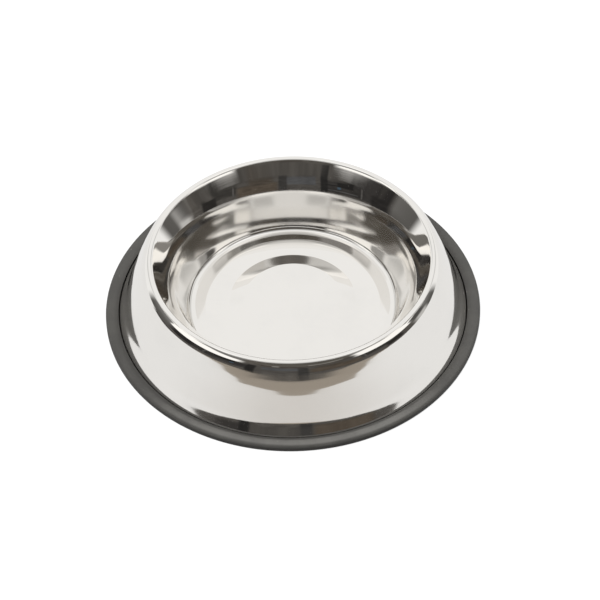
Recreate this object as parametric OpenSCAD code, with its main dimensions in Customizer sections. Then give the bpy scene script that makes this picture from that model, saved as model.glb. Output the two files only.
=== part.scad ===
// No-tip dog bowl: one folded stainless sheet on a bonded rubber foot ring.
// The origin is the centre of the foot, on the surface the bowl stands on, and +Z is up.
// Everything is a body of revolution about Z, so each piece is one outline turned round that axis.
// Sizes of the steel are those of its polished face, the one seen from above and outside.
// Widths are measured along the radius. They add up from the rim's crest, inwards to the middle of the
// floor and outwards to the edge of the ring, which comes out 250 mm across.

/* [Rim] */
// Height of the rim's crest above the table
rim_h = 50.2; // [46:0.1:60]
// Radius of the circle that the crest of the rim follows
rim_r = 93; // [75:0.5:115]
// Bend radius over the crest of the rim
crest_bend = 2.8; // [2.2:0.1:3.4]

/* [Bowl] */
// Thickness of the steel sheet
sheet_t = 0.6; // [0.4:0.05:1]
// Width of the bell mouth, from the rim's crest in to the waist
mouth_w = 13.1; // [10:0.1:16]
// Drop of the bell mouth, from the rim's crest to the waist
mouth_drop = 15.2; // [12:0.1:19]
// Bend radius of the bell mouth at the waist
waist_bend = 45; // [20:1:60]
// Width that the wall leans in, from the waist to the corner where it would meet the floor
wall_w = 10.6; // [7:0.1:14]
// Bend radius between the wall and the floor
corner_bend = 3.6; // [2.5:0.1:4.5]

/* [Bowl floor] */
// Height of the groove that runs round the edge of the floor
groove_h = 4.6; // [4:0.1:7]
// Width of the groove, from the wall's corner in to the foot of the step
groove_w = 4.1; // [3.8:0.1:6]
// Width of the step from the groove up to the floor's main flat
step_w = 8.1; // [6:0.1:10]
// Height of the step
step_rise = 2; // [0.5:0.1:2.6]
// Bend radius at the top of the step, softer than the floor's other bends
step_bend = 12; // [3:1:16]
// Width of the floor's main flat
flat_w = 14.5; // [8:0.5:18]
// Width of the slope from the main flat up to the centre disc
disc_slope_w = 10.6; // [7:0.1:14]
// Height of the centre disc above the main flat
disc_rise = 2.3; // [0.5:0.1:3]
// Bend radius at the foot of the step and along both edges of the disc's slope
floor_bend = 3; // [1.5:0.1:4]

/* [Skirt] */
// Width from the rim's crest out to the shoulder, where the rim bends into the skirt
shoulder_w = 4.5; // [4:0.1:5.5]
// Drop from the rim's crest to the shoulder
shoulder_drop = 3; // [2.4:0.1:3.6]
// Bend radius of the shoulder
shoulder_bend = 14; // [6:0.5:15]
// Width of the skirt's upper part, from the shoulder out to the belly
skirt_w = 6.7; // [5:0.1:9]
// Drop of the skirt's upper part
skirt_drop = 14.7; // [12:0.1:18]
// Bend radius of the skirt's slight belly
belly_bend = 135; // [60:1:150]
// Width of the skirt's lower part, from the belly out to the start of the flare
lower_skirt_w = 6.9; // [5:0.1:9]
// Height at which the skirt starts to flare
flare_h = 11.3; // [9:0.1:14]
// Bend radius of the flare
flare_bend = 27; // [15:0.5:30]
// Width of the flare, out to the root of the flange
flare_w = 5.6; // [4.5:0.1:7]

/* [Flange] */
// Width of the flat flange, from its root out to its edge
flange_w = 4.3; // [3:0.1:6]
// Bend radius at the flange's root
flange_bend = 1.5; // [1:0.1:2]

/* [Rubber ring] */
// Rubber under the flange
sole_t = 1.6; // [1.2:0.1:2.2]
// Rubber over the flange, at the crown of the ring's domed top
cover_t = 3.5; // [3:0.1:4.2]
// Rubber outside the closed end of the slot
ring_wall_t = 3.2; // [2.8:0.1:5]
// Width of the heel, the rubber that reaches in past the root of the flange
heel_w = 3; // [1:0.1:6]
// Width of the dome, from the ring's outer edge in to its crown
dome_w = 5.7; // [4.5:0.1:6.2]
// Drop of the dome from its crown to its outer edge
dome_drop = 1.2; // [0.6:0.1:1.6]
// Drop of the dome from its crown to its inner lip
lip_drop = 2.2; // [1:0.1:2.6]
// Bend radius along the ring's outer top edge
ring_top_bend = 2.4; // [1:0.1:2.5]
// Bend radius along the ring's crown
crown_bend = 6; // [2:0.5:8]
// Bend radius along the ring's outer foot
ring_foot_bend = 1.4; // [0.3:0.1:1.6]
// Bend radius along the ring's lip and its hole
lip_bend = 0.4; // [0.2:0.05:0.5]
// Gap between the ring's lip and the steel, seen as a thin dark line
lip_gap = 0.3; // [0.15:0.05:0.5]
// Gap over the flange in its slot
slot_gap = 0.1; // [0.05:0.05:0.3]
// Width of the adhesive bead between the flange's edge and the closed end of the slot
bead_w = 0.8; // [0.4:0.1:1.2]

/* [Hidden] */

// Furthest that a chord along a bend lies off the true arc
bend_slip = 0.01;

// Radii, inwards from the rim's crest
waist_r = rim_r - mouth_w;
corner_r = waist_r - wall_w;
groove_r = corner_r - groove_w;
flat_r = groove_r - step_w;
slope_foot_r = flat_r - flat_w;
disc_r = slope_foot_r - disc_slope_w;

// Radii, outwards from the rim's crest
shoulder_r = rim_r + shoulder_w;
belly_r = shoulder_r + skirt_w;
flare_r = belly_r + lower_skirt_w;
flange_root_r = flare_r + flare_w;
flange_r = flange_root_r + flange_w;
slot_end_r = flange_r + bead_w;
ring_r = slot_end_r + ring_wall_t;
crown_r = ring_r - dome_w;
ring_hole_r = flange_root_r - heel_w;

// Heights, the steel's down from the rim or up from the groove, and the ring's up from its foot
waist_h = rim_h - mouth_drop;
shoulder_h = rim_h - shoulder_drop;
belly_h = shoulder_h - skirt_drop;
flat_h = groove_h + step_rise;
disc_h = flat_h + disc_rise;
flange_h = sole_t + sheet_t;
slot_top_h = flange_h + slot_gap;
ring_h = slot_top_h + cover_t;
ring_edge_h = ring_h - dome_drop;
lip_h = ring_h - lip_drop;

// A place in an outline: its radius, its height and the bend radius there
function place(r, h, bend) = [r, h, bend];
function flat_of(p) = [p[0], p[1]];
function way(from, to) = (flat_of(to) - flat_of(from)) / norm(flat_of(to) - flat_of(from));
function left_of(v) = [-v[1], v[0]];
function turned(v, a) = [v[0] * cos(a) - v[1] * sin(a), v[0] * sin(a) + v[1] * cos(a)];
function cross_of(a, b) = a[0] * b[1] - a[1] * b[0];

// The angle that an outline turns by at a corner, above zero to the left
function turn_at(before, here, after) =
    let (
        into = way(before, here),
        out = way(here, after)
    )
    atan2(cross_of(into, out), into * out);

// How far the bend at a corner reaches along each of its two legs
function reach_at(before, here, after) = here[2] * tan(abs(turn_at(before, here, after)) / 2);

// The share of the bends' reach that the leg between two corners has room for
function room(from, to, reach) = reach > 0 ? min(1, norm(flat_of(to) - flat_of(from)) / reach) : 1;

// One rounded corner of an outline as a row of [point, normal]. The normal points to the left of the
// way that the outline runs. A corner with no bend has one row for each of its two legs.
function corner(before, here, after, reach) =
    let (
        into = way(before, here),
        turn = turn_at(before, here, after),
        bend = reach / tan(abs(turn) / 2),
        spoke = left_of(into) * -bend * sign(turn),
        centre = flat_of(here) - into * reach - spoke
    )
    reach == 0
    ? [[flat_of(here), left_of(into)], [flat_of(here), left_of(way(here, after))]]
    : let (steps = ceil(abs(turn) / (2 * acos(1 - bend_slip / bend))))
        [for (i = [0 : steps])
            let (a = turn * i / steps)
            [centre + turned(spoke, a), left_of(turned(into, a))]
        ];

// The corner at place i, with its bend no larger than its legs have room for
function bent(places, reaches, before, i, after) =
    let (
        room_before = room(places[before], places[i], reaches[before] + reaches[i]),
        room_after = room(places[i], places[after], reaches[i] + reaches[after])
    )
    corner(places[before], places[i], places[after], reaches[i] * min(room_before, room_after));

// An open outline with its corners rounded, as rows of [point, normal]
function rounded(places) =
    let (
        last = len(places) - 1,
        inner_reaches = [for (i = [1 : last - 1]) reach_at(places[i - 1], places[i], places[i + 1])],
        reaches = [0, each inner_reaches, 0]
    )
    [
        [flat_of(places[0]), left_of(way(places[0], places[1]))],
        for (i = [1 : last - 1]) each bent(places, reaches, i - 1, i, i + 1),
        [flat_of(places[last]), left_of(way(places[last - 1], places[last]))]
    ];

// A closed outline with its corners rounded, as points
function rounded_loop(places) =
    let (
        n = len(places),
        reaches = [for (i = [0 : n - 1]) reach_at(places[(i + n - 1) % n], places[i], places[(i + 1) % n])]
    )
    [for (i = [0 : n - 1])
        for (row = bent(places, reaches, (i + n - 1) % n, i, (i + 1) % n)) row[0]
    ];

// A sheet of even thickness behind an outline: the outline out, and the same line set back on the way home
function sheet(rows, t) =
    concat(
        [for (row = rows) row[0]],
        [for (i = [len(rows) - 1 : -1 : 0]) rows[i][0] - rows[i][1] * t]
    );

// The way from a point to where its line touches a circle, on the circle's left (1) or right (-1) side
function tangent_from(p, centre, radius, side) =
    turned(way(p, centre), side * asin(radius / norm(centre - p)));

// Where two lines meet, each given by a point and a way
function meet(p, p_way, q, q_way) = p + p_way * cross_of(q - p, q_way) / cross_of(p_way, q_way);

// The corner where the bell mouth and the shoulder would meet, above the bend of the rim's crest
waist = [waist_r, waist_h];
shoulder = [shoulder_r, shoulder_h];
crest_centre = [rim_r, rim_h - crest_bend];
crest = meet(
    waist, tangent_from(waist, crest_centre, crest_bend, 1),
    shoulder, tangent_from(shoulder, crest_centre, crest_bend, -1)
);

// The polished face from the middle of the bowl's floor, over the rim, to the edge of the flange
steel_face = rounded([
    place(0, disc_h, 0),
    place(disc_r, disc_h, floor_bend),
    place(slope_foot_r, flat_h, floor_bend),
    place(flat_r, flat_h, step_bend),
    place(groove_r, groove_h, floor_bend),
    place(corner_r, groove_h, corner_bend),
    place(waist_r, waist_h, waist_bend),
    place(crest[0], crest[1], crest_bend),
    place(shoulder_r, shoulder_h, shoulder_bend),
    place(belly_r, belly_h, belly_bend),
    place(flare_r, flare_h, flare_bend),
    place(flange_root_r, flange_h, flange_bend),
    place(flange_r, flange_h, 0)
]);

// The ring's lip stands off the flare by the lip gap, along the flare's own slope
flare_foot = [flange_root_r, flange_h];
flare_way = way([flare_r, flare_h], flare_foot);
lip_line = flare_foot + left_of(flare_way) * lip_gap;
function lip_r_at(h) = lip_line[0] + flare_way[0] * (h - lip_line[1]) / flare_way[1];
// Inside the slot the lip also clears the reach of the bend at the flange's root
flange_root = place(flange_root_r, flange_h, flange_bend);
flange_bend_reach = reach_at([flare_r, flare_h], flange_root, [flange_r, flange_h]);
slot_mouth_r = flange_root_r + flange_bend_reach;

rubber_outline = rounded_loop([
    place(ring_hole_r, 0, lip_bend),
    place(ring_r, 0, ring_foot_bend),
    place(ring_r, ring_edge_h, ring_top_bend),
    place(crown_r, ring_h, crown_bend),
    place(lip_r_at(lip_h), lip_h, lip_bend),
    place(slot_mouth_r, slot_top_h, 0),
    place(slot_end_r, slot_top_h, 0),
    place(slot_end_r, sole_t, 0),
    place(ring_hole_r, sole_t, lip_bend)
]);

module steel_shell() {
    color("silver")
        rotate_extrude($fn = 180)
            polygon(sheet(steel_face, sheet_t));
}

module rubber_ring() {
    color("dimgray")
        rotate_extrude($fn = 180)
            polygon(rubber_outline);
}

module adhesive_bead() {
    color("ivory")
        rotate_extrude($fn = 180)
            polygon([
                [flange_r, sole_t],
                [slot_end_r, sole_t],
                [slot_end_r, slot_top_h],
                [flange_r, slot_top_h]
            ]);
}

steel_shell();
rubber_ring();
adhesive_bead();
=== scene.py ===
import math

import bmesh
import bpy
from mathutils import Matrix, Vector


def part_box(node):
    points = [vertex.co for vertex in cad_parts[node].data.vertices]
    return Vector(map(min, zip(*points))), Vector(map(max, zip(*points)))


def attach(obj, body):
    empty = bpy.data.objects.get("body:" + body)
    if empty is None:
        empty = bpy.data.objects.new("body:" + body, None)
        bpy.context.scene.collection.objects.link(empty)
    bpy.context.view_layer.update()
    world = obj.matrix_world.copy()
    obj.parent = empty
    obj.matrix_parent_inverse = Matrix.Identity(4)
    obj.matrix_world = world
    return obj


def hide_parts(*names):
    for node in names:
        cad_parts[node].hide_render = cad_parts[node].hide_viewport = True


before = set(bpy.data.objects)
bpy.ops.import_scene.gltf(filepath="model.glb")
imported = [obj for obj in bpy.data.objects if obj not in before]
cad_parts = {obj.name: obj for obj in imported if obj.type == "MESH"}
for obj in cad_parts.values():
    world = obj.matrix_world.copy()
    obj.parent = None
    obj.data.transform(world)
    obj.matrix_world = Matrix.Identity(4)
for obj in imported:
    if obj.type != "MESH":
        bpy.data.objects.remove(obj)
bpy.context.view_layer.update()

MM = 0.001

# Heights and radii of the bowl in millimetres, as its CAD source has them
RIM_H = 50.2
RIM_R = 93
CREST_BEND = 2.8
SHEET_T = 0.6
MOUTH_W = 13.1
MOUTH_DROP = 15.2
WAIST_BEND = 45
WALL_W = 10.6
CORNER_BEND = 3.6
GROOVE_H = 4.6
GROOVE_W = 4.1
STEP_W = 8.1
STEP_RISE = 2
STEP_BEND = 12
FLAT_W = 14.5
DISC_SLOPE_W = 10.6
DISC_RISE = 2.3
FLOOR_BEND = 3
SHOULDER_W = 4.5
SHOULDER_DROP = 3
SHOULDER_BEND = 14
SKIRT_W = 6.7
SKIRT_DROP = 14.7
BELLY_BEND = 135
LOWER_SKIRT_W = 6.9
FLARE_H = 11.3
FLARE_BEND = 27
FLARE_W = 5.6
FLANGE_W = 4.3
FLANGE_BEND = 1.5
SOLE_T = 1.6
COVER_T = 3.5
RING_WALL_T = 3.2
HEEL_W = 3
DOME_W = 5.7
DOME_DROP = 1.2
LIP_DROP = 2.2
RING_TOP_BEND = 2.4
CROWN_BEND = 6
RING_FOOT_BEND = 1.4
LIP_BEND = 0.4
LIP_GAP = 0.3
SLOT_GAP = 0.1
BEAD_W = 0.8

WAIST_R = RIM_R - MOUTH_W
CORNER_R = WAIST_R - WALL_W
GROOVE_R = CORNER_R - GROOVE_W
FLAT_R = GROOVE_R - STEP_W
SLOPE_FOOT_R = FLAT_R - FLAT_W
DISC_R = SLOPE_FOOT_R - DISC_SLOPE_W
SHOULDER_R = RIM_R + SHOULDER_W
BELLY_R = SHOULDER_R + SKIRT_W
FLARE_R = BELLY_R + LOWER_SKIRT_W
FLANGE_ROOT_R = FLARE_R + FLARE_W
FLANGE_R = FLANGE_ROOT_R + FLANGE_W
SLOT_END_R = FLANGE_R + BEAD_W
RING_R = SLOT_END_R + RING_WALL_T
CROWN_R = RING_R - DOME_W
RING_HOLE_R = FLANGE_ROOT_R - HEEL_W
WAIST_H = RIM_H - MOUTH_DROP
SHOULDER_H = RIM_H - SHOULDER_DROP
BELLY_H = SHOULDER_H - SKIRT_DROP
FLAT_H = GROOVE_H + STEP_RISE
DISC_H = FLAT_H + DISC_RISE
FLANGE_H = SOLE_T + SHEET_T
SLOT_TOP_H = FLANGE_H + SLOT_GAP
RING_H = SLOT_TOP_H + COVER_T
RING_EDGE_H = RING_H - DOME_DROP
LIP_H = RING_H - LIP_DROP

# How finely the pieces are turned
STEPS_AROUND = 216
BEND_STEP_DEG = 3
LEG_STEP_MM = 1.6
# Meeting faces look sharp from this angle on
SHARP_DEG = 40


# Outlines

def flat_of(place):
    """The radius and height of a place, without its bend."""
    return Vector(place[:2])


def way(start, end):
    """The unit vector from one place to the next."""
    return (flat_of(end) - flat_of(start)).normalized()


def left_of(v):
    """The vector turned a quarter turn to the left."""
    return Vector((-v.y, v.x))


def turned(v, angle):
    """The vector turned to the left by an angle."""
    return Matrix.Rotation(angle, 2) @ v


def turn_at(before, here, after):
    """The angle that an outline turns by at a place, above zero to the left."""
    into = way(before, here)
    out = way(here, after)
    return math.atan2(into.cross(out), into.dot(out))


def bend_points(before, here, after):
    """The points of one rounded corner."""
    if here[2] == 0:
        return [flat_of(here)]
    into = way(before, here)
    turn = turn_at(before, here, after)
    spoke = left_of(into) * -here[2] * math.copysign(1, turn)
    reach = here[2] * math.tan(abs(turn) / 2)
    centre = flat_of(here) - into * reach - spoke
    steps = max(2, math.ceil(abs(math.degrees(turn)) / BEND_STEP_DEG))
    return [centre + turned(spoke, turn * i / steps) for i in range(steps + 1)]


def with_leg_steps(points):
    """The same line with its long straight parts cut into even steps."""
    line = [points[0]]
    for start, end in zip(points, points[1:]):
        steps = max(1, math.ceil((end - start).length / LEG_STEP_MM))
        line += [start.lerp(end, i / steps) for i in range(1, steps + 1)]
    return line


def open_outline(places):
    """A rounded open outline as points."""
    inner = zip(places, places[1:], places[2:])
    bends = [p for three in inner for p in bend_points(*three)]
    return with_leg_steps([flat_of(places[0]), *bends, flat_of(places[-1])])


def closed_outline(places):
    """A rounded closed outline as points, the first one repeated at the end."""
    befores = places[-1:] + places[:-1]
    afters = places[1:] + places[:1]
    corners = zip(befores, places, afters)
    points = [p for three in corners for p in bend_points(*three)]
    return with_leg_steps(points + points[:1])


def set_back(points, depth):
    """The line that lies a depth to the right of an open line."""
    ways = [(b - a).normalized() for a, b in zip(points, points[1:])]
    mean_ways = [(a + b).normalized() for a, b in zip(ways[:1] + ways, ways + ways[-1:])]
    return [p - left_of(w) * depth for p, w in zip(points, mean_ways)]


def tangent_from(point, centre, radius, side):
    """The way from a point to where its line touches a circle, on its left (1) or right (-1)."""
    gap = (centre - point).length
    return turned((centre - point).normalized(), side * math.asin(radius / gap))


def meet(p, p_way, q, q_way):
    """Where two lines meet, each given by a point and a way."""
    return p + p_way * ((q - p).cross(q_way) / p_way.cross(q_way))


def crest_corner():
    """The corner where the bell mouth and the shoulder would meet above the rim's crest."""
    waist = Vector((WAIST_R, WAIST_H))
    shoulder = Vector((SHOULDER_R, SHOULDER_H))
    centre = Vector((RIM_R, RIM_H - CREST_BEND))
    mouth_way = tangent_from(waist, centre, CREST_BEND, 1)
    shoulder_way = tangent_from(shoulder, centre, CREST_BEND, -1)
    return meet(waist, mouth_way, shoulder, shoulder_way)


def steel_outline():
    """The polished face from the middle of the floor, over the rim, to the flange's edge."""
    crest = crest_corner()
    return open_outline([
        (0, DISC_H, 0),
        (DISC_R, DISC_H, FLOOR_BEND),
        (SLOPE_FOOT_R, FLAT_H, FLOOR_BEND),
        (FLAT_R, FLAT_H, STEP_BEND),
        (GROOVE_R, GROOVE_H, FLOOR_BEND),
        (CORNER_R, GROOVE_H, CORNER_BEND),
        (WAIST_R, WAIST_H, WAIST_BEND),
        (crest.x, crest.y, CREST_BEND),
        (SHOULDER_R, SHOULDER_H, SHOULDER_BEND),
        (BELLY_R, BELLY_H, BELLY_BEND),
        (FLARE_R, FLARE_H, FLARE_BEND),
        (FLANGE_ROOT_R, FLANGE_H, FLANGE_BEND),
        (FLANGE_R, FLANGE_H, 0),
    ])


def lip_radius(height):
    """The radius of the ring's lip line, which stands off the flare by the lip gap."""
    foot = Vector((FLANGE_ROOT_R, FLANGE_H))
    flare_way = way((FLARE_R, FLARE_H), foot)
    start = foot + left_of(flare_way) * LIP_GAP
    return start.x + flare_way.x * (height - start.y) / flare_way.y


def rubber_outline():
    """The ring's section, with the slot for the flange."""
    root = (FLANGE_ROOT_R, FLANGE_H, FLANGE_BEND)
    root_turn = turn_at((FLARE_R, FLARE_H), root, (FLANGE_R, FLANGE_H))
    slot_mouth_r = FLANGE_ROOT_R + FLANGE_BEND * math.tan(abs(root_turn) / 2)
    return closed_outline([
        (RING_HOLE_R, 0, LIP_BEND),
        (RING_R, 0, RING_FOOT_BEND),
        (RING_R, RING_EDGE_H, RING_TOP_BEND),
        (CROWN_R, RING_H, CROWN_BEND),
        (lip_radius(LIP_H), LIP_H, LIP_BEND),
        (slot_mouth_r, SLOT_TOP_H, 0),
        (SLOT_END_R, SLOT_TOP_H, 0),
        (SLOT_END_R, SOLE_T, 0),
        (RING_HOLE_R, SOLE_T, LIP_BEND),
    ])


# Meshes

def ring_corners(inner, outer, step):
    """The corners of one face between two rings of points, or a triangle at the axis."""
    after = step + 1
    corners = [
        inner[step % len(inner)],
        outer[step % len(outer)],
        outer[after % len(outer)],
        inner[after % len(inner)],
    ]
    return list(dict.fromkeys(corners))


def turned_piece(name, points, node, back_from=None):
    """A skin made by turning an outline about Z, its outside to the left of the outline's way.

    It fills the box of its CAD node, and its legs from back_from on take the second material.
    """
    low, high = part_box(node)
    across = min(high.x, high.y, -low.x, -low.y) / max(p.x for p in points)
    up = high.z / max(p.y for p in points)
    angles = [2 * math.pi * i / STEPS_AROUND for i in range(STEPS_AROUND)]
    turns = [(math.cos(a), math.sin(a)) for a in angles]
    verts = []
    rings = []
    for point in points:
        radius = point.x * across
        around = turns if radius > 0 else turns[:1]
        rings.append(range(len(verts), len(verts) + len(around)))
        verts += [(radius * c, radius * s, point.y * up) for c, s in around]
    faces = [
        ring_corners(inner, outer, step)
        for inner, outer in zip(rings, rings[1:])
        for step in range(STEPS_AROUND)
    ]
    mesh = bpy.data.meshes.new(name)
    mesh.from_pydata(verts, [], faces)
    if back_from is not None:
        for face in mesh.polygons[back_from * STEPS_AROUND:]:
            face.material_index = 1
    made = bmesh.new()
    made.from_mesh(mesh)
    bmesh.ops.remove_doubles(made, verts=made.verts, dist=0.0001 * MM)
    made.to_mesh(mesh)
    made.free()
    mesh.polygons.foreach_set("use_smooth", [True] * len(mesh.polygons))
    mesh.set_sharp_from_angle(angle=math.radians(SHARP_DEG))
    piece = bpy.data.objects.new(name, mesh)
    bpy.context.scene.collection.objects.link(piece)
    return piece


# Materials

class Graph:
    """The node tree of one material or world, with short ways to add to it."""

    def __init__(self, owner):
        owner.use_nodes = True
        self.tree = owner.node_tree
        self.tree.nodes.clear()

    def add(self, kind, **settings):
        """A new node with its settings."""
        node = self.tree.nodes.new(kind)
        for name, value in settings.items():
            setattr(node, name, value)
        return node

    def feed(self, socket, value):
        """Links a socket to another's value, or sets it to a number, vector or colour."""
        if isinstance(value, bpy.types.NodeSocket):
            self.tree.links.new(value, socket)
        elif isinstance(value, tuple) and socket.type == "RGBA":
            socket.default_value = (*value, 1)
        else:
            socket.default_value = value

    def math(self, operation, *values):
        """The result of a maths node."""
        node = self.add("ShaderNodeMath", operation=operation)
        for socket, value in zip(node.inputs, values):
            self.feed(socket, value)
        return node.outputs[0]

    def vector(self, operation, *values):
        """The result of a vector maths node."""
        node = self.add("ShaderNodeVectorMath", operation=operation)
        for socket, value in zip(node.inputs, values):
            self.feed(socket, value)
        return node.outputs[0]

    def ramp(self, value, low, high, at_low=0.0, at_high=1.0):
        """A smooth change from one number to another while the value goes from low to high."""
        node = self.add("ShaderNodeMapRange", interpolation_type="SMOOTHSTEP")
        for socket, item in zip(node.inputs, (value, low, high, at_low, at_high)):
            self.feed(socket, item)
        return node.outputs[0]

    def span(self, value, low, high, soft):
        """One while the value lies between low and high, zero outside, with soft ends."""
        rise = self.ramp(value, low - soft / 2, low + soft / 2)
        fall = self.ramp(value, high - soft / 2, high + soft / 2, 1.0, 0.0)
        return self.math("MULTIPLY", rise, fall)

    def mix(self, share, first, second):
        """A colour between two."""
        node = self.add("ShaderNodeMix", data_type="RGBA")
        self.feed(node.inputs["Factor"], share)
        self.feed(node.inputs[6], first)
        self.feed(node.inputs[7], second)
        return node.outputs[2]

    def noise(self, at, scale, detail=2.0, roughness=0.5):
        """A noise from 0 to 1 at a point."""
        node = self.add("ShaderNodeTexNoise")
        self.feed(node.inputs["Vector"], at)
        self.feed(node.inputs["Scale"], scale)
        self.feed(node.inputs["Detail"], detail)
        self.feed(node.inputs["Roughness"], roughness)
        return node.outputs["Fac"]

    def place(self):
        """The point on the object, in metres."""
        return self.add("ShaderNodeTexCoord").outputs["Object"]

    def parts(self, point):
        """The x, y and z of a point."""
        node = self.add("ShaderNodeSeparateXYZ")
        self.feed(node.inputs[0], point)
        return node.outputs[0], node.outputs[1], node.outputs[2]

    def joined(self, x, y, z):
        """A point from its x, y and z."""
        node = self.add("ShaderNodeCombineXYZ")
        for socket, value in zip(node.inputs, (x, y, z)):
            self.feed(socket, value)
        return node.outputs[0]

    def bump(self, height, distance, strength=1.0, normal=None):
        """The normal of a surface with a relief of that depth in metres."""
        node = self.add("ShaderNodeBump")
        self.feed(node.inputs["Strength"], strength)
        self.feed(node.inputs["Distance"], distance)
        self.feed(node.inputs["Height"], height)
        if normal is not None:
            self.feed(node.inputs["Normal"], normal)
        return node.outputs[0]

    def from_axis(self, x, y):
        """How far x and y lie from the bowl's axis."""
        squares = self.math("ADD", self.math("MULTIPLY", x, x), self.math("MULTIPLY", y, y))
        return self.math("SQRT", squares)

    def dimmed(self, colour, share):
        """A colour times a number."""
        return self.vector("MULTIPLY", colour, self.joined(share, share, share))

    def shader(self, kind, **inputs):
        """A shader with its inputs, where _ stands for a space in their names."""
        node = self.add(kind)
        for name, value in inputs.items():
            self.feed(node.inputs[name.replace("_", " ")], value)
        return node.outputs[0]

    def mix_shader(self, share, first, second):
        """A shader between two."""
        node = self.add("ShaderNodeMixShader")
        for socket, value in zip(node.inputs, (share, first, second)):
            self.feed(socket, value)
        return node.outputs[0]

    def surface(self, shader, output="ShaderNodeOutputMaterial"):
        """Makes a shader the surface of the material or world."""
        self.feed(self.add(output).inputs["Surface"], shader)

    def principled(self, **inputs):
        """Makes a Principled shader the surface of the material."""
        self.surface(self.shader("ShaderNodeBsdfPrincipled", **inputs))


# The polished steel, clean and with haze
STEEL = (0.94, 0.923, 0.897)
STEEL_HAZE = (0.915, 0.9, 0.876)
# Where the satin wall lies: its radii and heights in metres, from and to, and how soft its edges are
WALL_R = (0.064, 0.0805, 0.003)
WALL_H = (0.0065, 0.036, 0.006)
# How much the satin wall gives back, against the mirror
WALL_SHARE = 0.92
# Between which radii in metres the skirt's sheen sets in
SKIRT_R = (0.0965, 0.0995)
# Roughness of the mirror, of the satin wall and skirt, and what the haze adds
SHEEN = 0.028
WALL_SHEEN = 0.09
SKIRT_SHEEN = 0.065
HAZE_SHEEN = 0.02
# Depth in metres of the sheet's faint waves and of its polishing lines
WAVE_DEPTH = 0.00004
POLISH_DEPTH = 0.0000012
# How fine the waves, the haze, the polishing lines and the clouds on the back are, to a metre
WAVE_SCALE = 26.0
HAZE_SCALE = 38.0
POLISH_SCALE = 2600.0
BACK_CLOUD_SCALE = 22.0
# The unpolished back of the sheet
BACK_DARK = (0.52, 0.51, 0.49)
BACK_PALE = (0.66, 0.65, 0.63)
BACK_ROUGH = (0.28, 0.4)
BACK_GRAIN_DEPTH = 0.000004
# The rubber, plain and worn
RUBBER = (0.05, 0.048, 0.045)
RUBBER_WORN = (0.068, 0.066, 0.061)
# The ring's lower outer face is darker, a painted shade, and the crown is paler in front, a painted
# highlight
RUBBER_PAINTED_SHADE = (0.02, 0.0195, 0.0185)
RUBBER_PAINTED_HIGHLIGHT = (0.13, 0.126, 0.118)
# Between which heights the painted shade darkens the foot, and where the painted highlight lies on the
# crown: its radii and their soft edges, and between which distances to the front it sets in, all in metres
FOOT_SHADE_H = (0.0042, 0.0028)
CROWN_HIGHLIGHT_R = (0.1192, 0.1232, 0.0016)
CROWN_HIGHLIGHT_Y = (-0.07, -0.11)
# How fine the rubber's grain, pits, clouds and dust are, to a metre, and how deep grain and pits are
GRAIN_SCALE = 5200.0
PIT_SCALE = 1300.0
CLOUD_SCALE = 75.0
DUST_SCALE = 420.0
GRAIN_DEPTH = 0.00003
PIT_DEPTH = 0.00005
DUST = (0.36, 0.35, 0.32)
# Which share of the dust's cells stays bare
DUST_FREE = 0.955
# The bead's glue, how fine its lumps are to a metre, and how deep in metres
GLUE_DARK = (0.66, 0.63, 0.54)
GLUE_PALE = (0.76, 0.73, 0.64)
GLUE_SCALE = 900.0
GLUE_DEPTH = 0.00008


def polished_steel():
    """Mirror steel: a soft sheen on the wall and skirt, faint waves, polishing lines and haze."""
    material = bpy.data.materials.new("polished_steel_finish")
    g = Graph(material)
    at = g.place()
    x, y, z = g.parts(at)
    radius = g.from_axis(x, y)
    angle = g.math("ARCTAN2", y, x)

    wall = g.math("MULTIPLY", g.span(radius, *WALL_R), g.span(z, *WALL_H))
    skirt = g.ramp(radius, *SKIRT_R)
    haze = g.noise(at, HAZE_SCALE, 4.0, 0.6)
    streaks = g.noise(g.joined(g.math("MULTIPLY", angle, 9.0), 0.0, 0.0), 1.0, 3.0, 0.6)
    sheen = g.math("ADD", SHEEN, g.math("MULTIPLY", wall, WALL_SHEEN - SHEEN))
    sheen = g.math("ADD", sheen, g.math("MULTIPLY", skirt, SKIRT_SHEEN - SHEEN))
    sheen = g.math("ADD", sheen, g.math("MULTIPLY", g.ramp(haze, 0.5, 0.75), HAZE_SHEEN))

    waves = g.noise(g.joined(x, y, g.math("MULTIPLY", z, 1.6)), WAVE_SCALE, 1.0)
    along = g.joined(
        g.math("MULTIPLY", radius, POLISH_SCALE),
        g.math("MULTIPLY", z, POLISH_SCALE),
        g.math("MULTIPLY", angle, 3.0),
    )
    lines = g.noise(along, 1.0, 2.0)
    normal = g.bump(waves, WAVE_DEPTH)
    normal = g.bump(lines, POLISH_DEPTH, normal=normal)
    clouded = g.math("ADD", haze, g.math("MULTIPLY", streaks, 0.2))
    colour = g.mix(g.ramp(clouded, 0.5, 0.9), STEEL, STEEL_HAZE)
    share = g.math("SUBTRACT", 1.0, g.math("MULTIPLY", wall, 1.0 - WALL_SHARE))
    colour = g.dimmed(colour, share)
    g.principled(Base_Color=colour, Metallic=1.0, Roughness=sheen, Normal=normal)
    return material


def underside_steel():
    """The unpolished back of the sheet, with the rolled sheet's fine grain."""
    material = bpy.data.materials.new("underside_steel_finish")
    g = Graph(material)
    at = g.place()
    x, y, z = g.parts(at)
    grain = g.noise(g.joined(g.math("MULTIPLY", x, 40.0), g.math("MULTIPLY", y, 1800.0), z), 1.0, 3.0)
    clouds = g.noise(at, BACK_CLOUD_SCALE, 4.0, 0.6)
    colour = g.mix(clouds, BACK_DARK, BACK_PALE)
    rough = g.ramp(grain, 0.3, 0.7, *BACK_ROUGH)
    normal = g.bump(grain, BACK_GRAIN_DEPTH)
    g.principled(Base_Color=colour, Metallic=1.0, Roughness=rough, Normal=normal)
    return material


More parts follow.
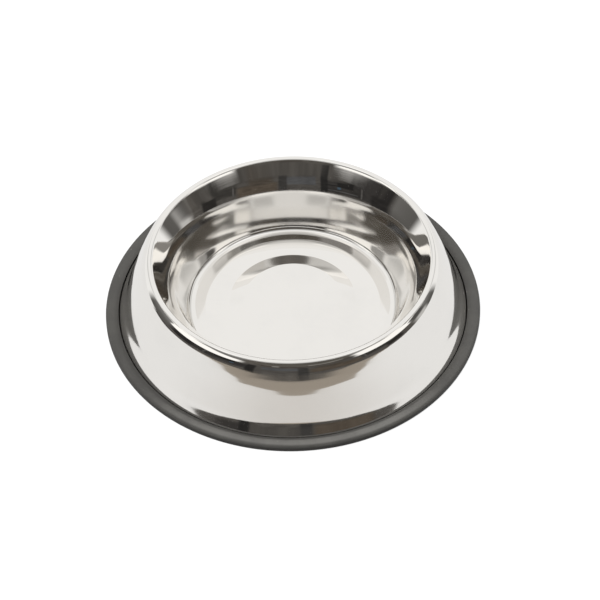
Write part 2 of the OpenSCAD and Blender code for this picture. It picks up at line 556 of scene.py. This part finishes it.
def dark_rubber():
    """Matte moulded rubber: fine grain, worn paler in clouds, with a little dust, a painted shade low on
    its outer face and a painted highlight on its crown in front.
    """
    material = bpy.data.materials.new("dark_rubber_finish")
    g = Graph(material)
    at = g.place()
    grain = g.noise(at, GRAIN_SCALE, 3.0, 0.65)
    clouds = g.noise(at, CLOUD_SCALE, 4.0, 0.6)
    pits = g.noise(at, PIT_SCALE, 2.0)
    specks = g.add("ShaderNodeTexVoronoi", feature="F1")
    g.feed(specks.inputs["Vector"], at)
    g.feed(specks.inputs["Scale"], DUST_SCALE)
    chosen = g.add("ShaderNodeSeparateColor")
    g.feed(chosen.inputs[0], specks.outputs["Color"])
    near = g.ramp(specks.outputs["Distance"], 0.08, 0.16, 1.0, 0.0)
    dust = g.math("MULTIPLY", near, g.math("GREATER_THAN", chosen.outputs[0], DUST_FREE))
    colour = g.mix(g.ramp(clouds, 0.35, 0.7), RUBBER, RUBBER_WORN)
    colour = g.mix(g.math("MULTIPLY", g.ramp(grain, 0.35, 0.7), 0.35), colour, RUBBER_WORN)
    x, y, z = g.parts(at)
    radius = g.from_axis(x, y)
    # Painted highlight: the crown is paler on the side towards the camera, broken up by the clouds
    crown_highlight = g.math("MULTIPLY", g.span(radius, *CROWN_HIGHLIGHT_R), g.ramp(y, *CROWN_HIGHLIGHT_Y))
    crown_highlight = g.math("MULTIPLY", crown_highlight, g.ramp(clouds, 0.25, 0.6, 0.6, 1.0))
    colour = g.mix(crown_highlight, colour, RUBBER_PAINTED_HIGHLIGHT)
    # Painted shade: the ring's outer face darkens towards the floor
    colour = g.mix(g.ramp(z, *FOOT_SHADE_H), colour, RUBBER_PAINTED_SHADE)
    colour = g.mix(g.math("MULTIPLY", dust, 0.8), colour, DUST)
    rough = g.ramp(clouds, 0.3, 0.7, 0.5, 0.62)
    normal = g.bump(grain, GRAIN_DEPTH, 0.5)
    normal = g.bump(pits, PIT_DEPTH, 0.4, normal)
    g.principled(Base_Color=colour, Roughness=rough, Normal=normal)
    return material


def cured_adhesive():
    """Pale cured glue with a slightly uneven skin."""
    material = bpy.data.materials.new("adhesive_finish")
    g = Graph(material)
    at = g.place()
    lumps = g.noise(at, GLUE_SCALE, 3.0)
    colour = g.mix(lumps, GLUE_DARK, GLUE_PALE)
    rough = g.ramp(lumps, 0.3, 0.7, 0.45, 0.6)
    g.principled(Base_Color=colour, Roughness=rough, Normal=g.bump(lumps, GLUE_DEPTH))
    return material


# Pieces

def make_shell():
    """The folded steel sheet: polished outside, plain on its hidden back."""
    face = steel_outline()
    back = set_back(face, SHEET_T)
    back[0] = Vector((0, back[0].y))
    shell = turned_piece("steel_shell_polished", face + back[::-1], "steel_shell", len(face))
    shell.data.materials.append(polished_steel())
    shell.data.materials.append(underside_steel())
    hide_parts("steel_shell")
    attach(shell, "root")


def make_ring():
    """The rubber foot ring with its slot."""
    ring = turned_piece("rubber_ring_moulded", rubber_outline()[::-1], "rubber_ring")
    ring.data.materials.append(dark_rubber())
    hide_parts("rubber_ring")
    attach(ring, "root")


def dress_bead():
    """The hidden bead keeps its CAD shape and gets its finish."""
    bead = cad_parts["adhesive_bead"]
    bead.data.materials.clear()
    bead.data.materials.append(cured_adhesive())


# Studio

# How bright the mirrored surroundings are, against the colours below
SURROUND_LEVEL = 0.83
# Light that the steel mirrors: the white sweep behind and at the sides, its duller upper part, and
# the grey overhead in front
SWEEP = (1.068, 1.062, 1.047)
SWEEP_HIGH = (0.93, 0.925, 0.91)
OVERHEAD_LOW = (0.46, 0.455, 0.445)
OVERHEAD = (0.8, 0.795, 0.785)
# The white of the table as it is mirrored at the sides and in front, and from which azimuth on in
# degrees it is the sides'
TABLE_WHITE = (0.99, 0.985, 0.975)
TABLE_FRONT = (0.785, 0.76, 0.73)
TABLE_SIDE_AZ = 64.0
# The dark room in front
ROOM = (0.09, 0.084, 0.077)
ROOM_HIGH = (0.118, 0.108, 0.095)
ROOM_LOW = (0.1, 0.093, 0.085)
ROOM_SIDE = (0.12, 0.11, 0.098)
ROOM_FLOOR = (0.38, 0.335, 0.28)
ROOM_FLOOR_NEAR = (0.3, 0.28, 0.255)
ROOM_FLOOR_FAR = (0.08, 0.074, 0.068)
# The grey of both sides, at the floor and high up
SIDE_LOW = (0.12, 0.115, 0.108)
SIDE_HIGH = (0.66, 0.65, 0.635)
# What stands outside the room's arch and inside it: azimuths and elevations from and to in degrees,
# how soft its edges are, and its colour. Azimuth 0 is towards the camera and 90 to the right.
OUTSIDE = [
    # The left windows, with a shaded wall over them
    (-92, -26, 20, 40, 2.5, (1.3, 1.28, 1.24)),
    (-80, -26, 40, 52, 2.5, (0.2, 0.195, 0.185)),
    (-84, -26, 52, 60.5, 2.5, (0.3, 0.29, 0.28)),
    # The right window, the dark and the pale wall over it, a pillar, and a pale board low down
    (38, 86, 18, 43, 3, (1.25, 1.23, 1.19)),
    (38, 82, 43, 51, 2.5, (0.3, 0.29, 0.275)),
    (38, 68, 51, 58.5, 2.5, (0.17, 0.165, 0.155)),
    (68, 88, 51, 58.5, 2.5, (0.34, 0.33, 0.31)),
    (38, 88, 58.5, 66, 2.5, (0.74, 0.725, 0.7)),
    (88, 100, 16, 48, 4, (0.1, 0.095, 0.09)),
    (70, 100, -20, 13, 6, (0.6, 0.59, 0.57)),
    # Narrow lights at both sides
    (-110, -80, 43, 54, 6, (1.3, 1.28, 1.24)),
    (80, 110, 44, 54, 6, (1.3, 1.28, 1.24)),
    (-110, -86, 28, 31, 1, (1.3, 1.28, 1.24)),
    (84, 110, 28, 31, 1, (1.3, 1.28, 1.24)),
    # Duller stretches of the sweep behind
    (118, 152, 26, 38, 12, (0.7, 0.695, 0.68)),
    (-152, -118, 26, 38, 12, (0.7, 0.695, 0.68)),
    # Soft light high up at both sides
    (84, 142, 66, 82, 4, (1.25, 1.24, 1.22)),
    (-142, -84, 66, 82, 4, (1.25, 1.24, 1.22)),
]
FURNISHINGS = [
    # The dark left side and its darkest corner
    (-76, -27, 9, 28, 4, (0.045, 0.042, 0.04)),
    (-94, -70, 5, 21, 4, (0.03, 0.028, 0.027)),
    (-54, -40, 20, 27, 2, (0.024, 0.023, 0.022)),
    # The dark right side
    (44, 66, 15, 27, 4, (0.05, 0.047, 0.043)),
    (63, 76, 6, 20, 3, (0.03, 0.028, 0.026)),
    # A brown cupboard, a pillar and the grey window wall between them
    (10, 44, 6, 24, 5, (0.098, 0.08, 0.063)),
    (14, 34, 22, 31, 6, (0.083, 0.07, 0.057)),
    (-32, -26, 0, 32, 2, (0.026, 0.025, 0.024)),
    (-22, 4, 18, 31, 2, (0.092, 0.093, 0.096)),
    (2, 9, 0, 32, 2, (0.05, 0.048, 0.046)),
    # A shelf with small things on it
    (-58, -32, 12.4, 13.6, 0.8, (0.1, 0.1, 0.1)),
    (-43, -40, 16, 20, 0.8, (0.06, 0.09, 0.12)),
    (-50, -30, 21.3, 22, 0.5, (0.012, 0.012, 0.012)),
    (-62, -60.6, 10, 24, 0.8, (0.11, 0.105, 0.1)),
    (47, 48.2, 12, 26, 0.8, (0.11, 0.105, 0.1)),
    # Beams and lights on the ceiling
    (-24, 44, 34.5, 38.5, 2, (0.075, 0.064, 0.056)),
    (-16, -11, 36, 40, 2, (0.3, 0.29, 0.27)),
    (10, 36, 39, 43, 2, (0.23, 0.22, 0.2)),
    # The dark top of the room's arch
    (-40, 40, 60, 64, 3, (0.17, 0.16, 0.15)),
    (-46, -13, 60, 68, 3, (0.17, 0.16, 0.15)),
    (13, 46, 60, 68, 3, (0.17, 0.16, 0.15)),
]

# The paper's front edge: how far off it ends, and how high in millimetres it curls at an azimuth
PAPER_EDGE_R = 0.33
PAPER_CURL = [
    (-112, 34),
    (-96, 24),
    (-84, 13),
    (-72, 25),
    (-56, 32),
    (-42, 29),
    (-26, 18),
    (0, 0),
    (30, 17),
    (42, 28),
    (56, 34),
    (72, 46),
    (112, 46),
]
# The dome of surroundings, and the room's floor, from and to in degrees and its height in metres
ROOM_R = 4.0
ROOM_FLOOR_AZ = (-102, 62)
ROOM_FLOOR_H = 0.0004
# The arch of the dark room: its middle in degrees, how far it reaches to each side low down and at
# its top, between which elevations it closes, and half its soft edge
ARCH_AZ = 3.0
ARCH_REACH = (41.0, -8.0)
ARCH_EL = (56.0, 70.0)
ARCH_SOFT = 4.0
# The line of the sills: its elevation in front, and its fall for each degree to the side
SILL_EL = 39.1
SILL_FALL = 0.216
SILL_SOFT = 0.8
# The world as a light
WORLD_COLOUR = (1.0, 0.985, 0.96)
WORLD_LEVEL = 0.24
# Half the floor's width in metres. Its paper is duller as a light on the bowl. To the camera it is
# a part that takes shadows and an even glow.
FLOOR_HALF = 6
PAPER = (0.22, 0.22, 0.22)
PAPER_SHADED = (0.2, 0.2, 0.2)
PAPER_GLOW = 0.84
# The floor lies a hair under the ring's foot, so that the two faces don't share a plane
FLOOR_GAP = 0.0002
# Lamps: where they hang in metres, their width in metres and their power in watts
LAMPS = {
    "key_lamp": ((-0.6, -0.8, 2.2), 1.6, 66),
    "fill_lamp": ((1.2, 1.0, 2.0), 1.8, 26),
}


def camera_rays(g):
    """One for what the camera, a mirror or glass sees straight on, and zero for light on the object."""
    path = g.add("ShaderNodeLightPath")
    seen = g.math("MAXIMUM", path.outputs["Is Camera Ray"], path.outputs["Is Glossy Ray"])
    return g.math("MAXIMUM", seen, path.outputs["Is Transmission Ray"])


def make_world():
    """A white surround, at a plain level as a light."""
    world = bpy.data.worlds.new("studio_world")
    bpy.context.scene.world = world
    g = Graph(world)
    light = g.shader("ShaderNodeBackground", Color=WORLD_COLOUR, Strength=WORLD_LEVEL)
    white = g.shader("ShaderNodeBackground", Color=(1.0, 1.0, 1.0), Strength=1.0)
    g.surface(g.mix_shader(camera_rays(g), light, white), "ShaderNodeOutputWorld")


def staged(name, mesh):
    """A stage piece with that mesh."""
    piece = bpy.data.objects.new(name, mesh)
    bpy.context.scene.collection.objects.link(piece)
    return piece


def azimuth(g, point):
    """How far round the bowl a point lies, in degrees: zero at the camera's side, 90 at the right."""
    x, y, _ = g.parts(point)
    return g.math("MULTIPLY", g.math("ARCTAN2", x, g.math("MULTIPLY", y, -1.0)), 180 / math.pi)


def table_tone(g, az):
    """The table's white in the steel, greyest in front."""
    return g.mix(g.ramp(g.math("ABSOLUTE", az), 0.0, TABLE_SIDE_AZ), TABLE_FRONT, TABLE_WHITE)


def make_floor():
    """The pale floor. It is white to the eye and in the steel, and it keeps the bowl's soft shadow."""
    mesh = bpy.data.meshes.new("studio_floor")
    corners = [(-1, -1), (1, -1), (1, 1), (-1, 1)]
    points = [(x * FLOOR_HALF, y * FLOOR_HALF, -FLOOR_GAP) for x, y in corners]
    mesh.from_pydata(points, [], [(0, 1, 2, 3)])
    staged("studio_floor", mesh)
    material = bpy.data.materials.new("floor_finish")
    g = Graph(material)
    paper = g.shader("ShaderNodeBsdfDiffuse", Color=PAPER)
    shown = g.add("ShaderNodeAddShader")
    g.feed(shown.inputs[0], g.shader("ShaderNodeBsdfDiffuse", Color=PAPER_SHADED))
    g.feed(shown.inputs[1], g.shader("ShaderNodeEmission", Strength=PAPER_GLOW))
    tone = table_tone(g, azimuth(g, g.place()))
    mirrored = g.shader("ShaderNodeEmission", Color=tone, Strength=SURROUND_LEVEL)
    path = g.add("ShaderNodeLightPath")
    seen = g.mix_shader(path.outputs["Is Glossy Ray"], shown.outputs[0], mirrored)
    g.surface(g.mix_shader(camera_rays(g), paper, seen))
    mesh.materials.append(material)


def make_mirrored(name, mesh, colour_of):
    """A stage piece that only mirrors see, which neither lights nor hides anything."""
    piece = staged(name, mesh)
    material = bpy.data.materials.new(name + "_finish")
    g = Graph(material)
    g.surface(g.shader("ShaderNodeEmission", Color=colour_of(g), Strength=SURROUND_LEVEL))
    material.cycles.emission_sampling = "NONE"
    mesh.materials.append(material)
    piece.visible_camera = False
    piece.visible_diffuse = False
    piece.visible_transmission = False
    piece.visible_volume_scatter = False
    piece.visible_shadow = False


def at_azimuth(az, radius, height):
    """The point at an azimuth in degrees, a radius and a height in metres."""
    angle = math.radians(az)
    return (radius * math.sin(angle), -radius * math.cos(angle), height)


def make_band(name, line, colour_of):
    """A band that only mirrors see, through pairs of points."""
    mesh = bpy.data.meshes.new(name)
    points = [point for pair in line for point in pair]
    faces = [(2 * i, 2 * i + 1, 2 * i + 3, 2 * i + 2) for i in range(len(line) - 1)]
    mesh.from_pydata(points, [], faces)
    make_mirrored(name, mesh, colour_of)


def curl_height(az):
    """How high the paper's front edge stands at an azimuth, in metres."""
    pairs = zip(PAPER_CURL, PAPER_CURL[1:])
    (az_low, low), (az_high, high) = next(p for p in pairs if p[0][0] <= az <= p[1][0])
    share = (az - az_low) / (az_high - az_low)
    return (low + (high - low) * share * share * (3 - 2 * share)) * MM


def make_paper_edge():
    """The paper's front edge, which curls up at both sides of the bowl."""
    low, high = PAPER_CURL[0][0], PAPER_CURL[-1][0]
    line = [
        (at_azimuth(az, PAPER_EDGE_R, 0), at_azimuth(az, PAPER_EDGE_R, curl_height(az)))
        for az in range(low, high + 1)
    ]
    make_band("paper_edge", line, lambda g: table_tone(g, azimuth(g, g.place())))


def room_floor_colour(g):
    """Tan boards past the paper, greyer near it, and dark far off and at the left."""
    at = g.place()
    distance = g.vector("LENGTH", at)
    tone = g.mix(g.ramp(distance, 0.36, 0.6), ROOM_FLOOR_NEAR, ROOM_FLOOR)
    tone = g.mix(g.ramp(distance, 1.0, 1.5), tone, ROOM_FLOOR_FAR)
    return g.mix(g.ramp(azimuth(g, at), -56.0, -70.0), tone, ROOM_FLOOR_FAR)


def make_room_floor():
    """The room's floor beyond the paper, in front and at the left."""
    low, high = ROOM_FLOOR_AZ
    line = [
        (at_azimuth(az, PAPER_EDGE_R, ROOM_FLOOR_H), at_azimuth(az, ROOM_R, ROOM_FLOOR_H))
        for az in range(low, high + 1, 2)
    ]
    make_band("room_floor", line, room_floor_colour)


def room_colours(g):
    """What the steel sees round it: a dark room in front, and white sweeps behind and above it."""
    at = g.vector("NORMALIZE", g.place())
    z = g.parts(at)[2]
    el = g.math("MULTIPLY", g.math("ARCSINE", z), 180 / math.pi)
    az = azimuth(g, at)
    side = g.math("ABSOLUTE", az)

    def patch(across, az_low, az_high, el_low, el_high, soft):
        """One inside a window of azimuths and elevations, zero outside."""
        return g.math("MULTIPLY", g.span(across, az_low, az_high, soft), g.span(el, el_low, el_high, soft))

    clutter = g.noise(g.vector("MULTIPLY", at, (1.0, 1.0, 2.0)), 7.0, 4.0, 0.65)
    shade = g.ramp(clutter, 0.3, 0.7, 0.8, 1.2)
    room = g.mix(g.ramp(el, 28.0, 46.0), ROOM, ROOM_HIGH)
    room = g.mix(g.ramp(el, 10.0, 2.0), room, ROOM_LOW)
    room = g.mix(g.ramp(side, 72.0, 92.0), room, ROOM_SIDE)

    # The room ends at the sides in an arch that closes overhead, and goes on under the sills
    across = g.math("ABSOLUTE", g.math("SUBTRACT", az, ARCH_AZ))
    reach = g.ramp(el, *ARCH_EL, *ARCH_REACH)
    arch = g.ramp(g.math("SUBTRACT", across, reach), -ARCH_SOFT, ARCH_SOFT, 1.0, 0.0)
    sill = g.math("SUBTRACT", SILL_EL, g.math("MULTIPLY", side, SILL_FALL))
    below = g.ramp(g.math("SUBTRACT", el, sill), -SILL_SOFT, SILL_SOFT, 1.0, 0.0)
    below = g.math("MULTIPLY", below, g.ramp(side, 84.0, 92.0, 1.0, 0.0))
    inside = g.math("MAXIMUM", arch, below)
    overhead = g.math("MULTIPLY", g.ramp(el, 61.0, 66.0), g.ramp(side, 48.0, 84.0, 1.0, 0.0))

    high = g.math("MULTIPLY", g.ramp(el, 54.0, 62.0), g.ramp(side, 112.0, 132.0, 1.0, 0.0))
    view = g.mix(high, SWEEP, SWEEP_HIGH)
    view = g.mix(overhead, view, g.mix(g.ramp(el, 67.0, 82.0), OVERHEAD_LOW, OVERHEAD))
    grey = g.mix(g.ramp(el, 6.0, 62.0), SIDE_LOW, SIDE_HIGH)
    view = g.mix(patch(side, 84, 113, -30, 62, 8), view, grey)
    for *window, colour in OUTSIDE:
        view = g.mix(patch(az, *window), view, colour)
    view = g.mix(inside, view, room)
    for *window, colour in FURNISHINGS:
        view = g.mix(g.math("MULTIPLY", inside, patch(az, *window)), view, colour)
    return g.mix(inside, view, g.dimmed(view, shade))


def make_room():
    """A dome of surroundings, seen only in mirrors."""
    mesh = bpy.data.meshes.new("surroundings")
    made = bmesh.new()
    bmesh.ops.create_uvsphere(made, u_segments=64, v_segments=32, radius=ROOM_R)
    made.to_mesh(mesh)
    made.free()
    make_mirrored("surroundings", mesh, room_colours)


def make_lamp(name, spot, size, power):
    """A large soft lamp that faces the bowl and stays out of its mirrors."""
    data = bpy.data.lights.new(name, "AREA")
    data.shape = "SQUARE"
    data.size = size
    data.energy = power
    lamp = bpy.data.objects.new(name, data)
    lamp.location = spot
    lamp.rotation_mode = "QUATERNION"
    lamp.rotation_quaternion = (-Vector(spot)).to_track_quat("-Z", "Y")
    bpy.context.scene.collection.objects.link(lamp)
    lamp.visible_camera = False
    lamp.visible_glossy = False


# The camera, as fitted to the photograph
EYE_ELEVATION = 46.3
EYE_DISTANCE = 1.455
EYE_AIM_H = 0.025
EYE_ROLL = -1.63
FOCAL_PX = 2200
CENTRE_PX = (291.65, 281.0)
FRAME_PX = 600
SENSOR_MM = 36


def make_camera():
    """The camera at the photograph's viewing angle."""
    elevation = math.radians(EYE_ELEVATION)
    roll = math.radians(EYE_ROLL)
    ahead = Vector((0, math.cos(elevation), -math.sin(elevation)))
    right = Vector((1, 0, 0))
    up = right.cross(ahead)
    rolled_right = right * math.cos(roll) + up * math.sin(roll)
    rolled_up = up * math.cos(roll) - right * math.sin(roll)
    data = bpy.data.cameras.new("camera")
    camera = bpy.data.objects.new("camera", data)
    bpy.context.scene.collection.objects.link(camera)
    turn = Matrix((rolled_right, rolled_up, -ahead)).transposed().to_4x4()
    place = Vector((0, 0, EYE_AIM_H)) - ahead * EYE_DISTANCE
    camera.matrix_world = Matrix.Translation(place) @ turn
    data.sensor_width = SENSOR_MM
    data.lens = SENSOR_MM * FOCAL_PX / FRAME_PX
    middle = (FRAME_PX - 1) / 2
    data.shift_x = (middle - CENTRE_PX[0]) / FRAME_PX
    data.shift_y = (CENTRE_PX[1] - middle) / FRAME_PX
    data.clip_start = 0.05
    data.clip_end = 60
    bpy.context.scene.camera = camera


make_camera()
make_shell()
make_ring()
dress_bead()
make_world()
make_floor()
make_paper_edge()
make_room_floor()
make_room()
for name, lamp in LAMPS.items():
    make_lamp(name, *lamp)
bpy.context.scene.view_settings.view_transform = "Standard"
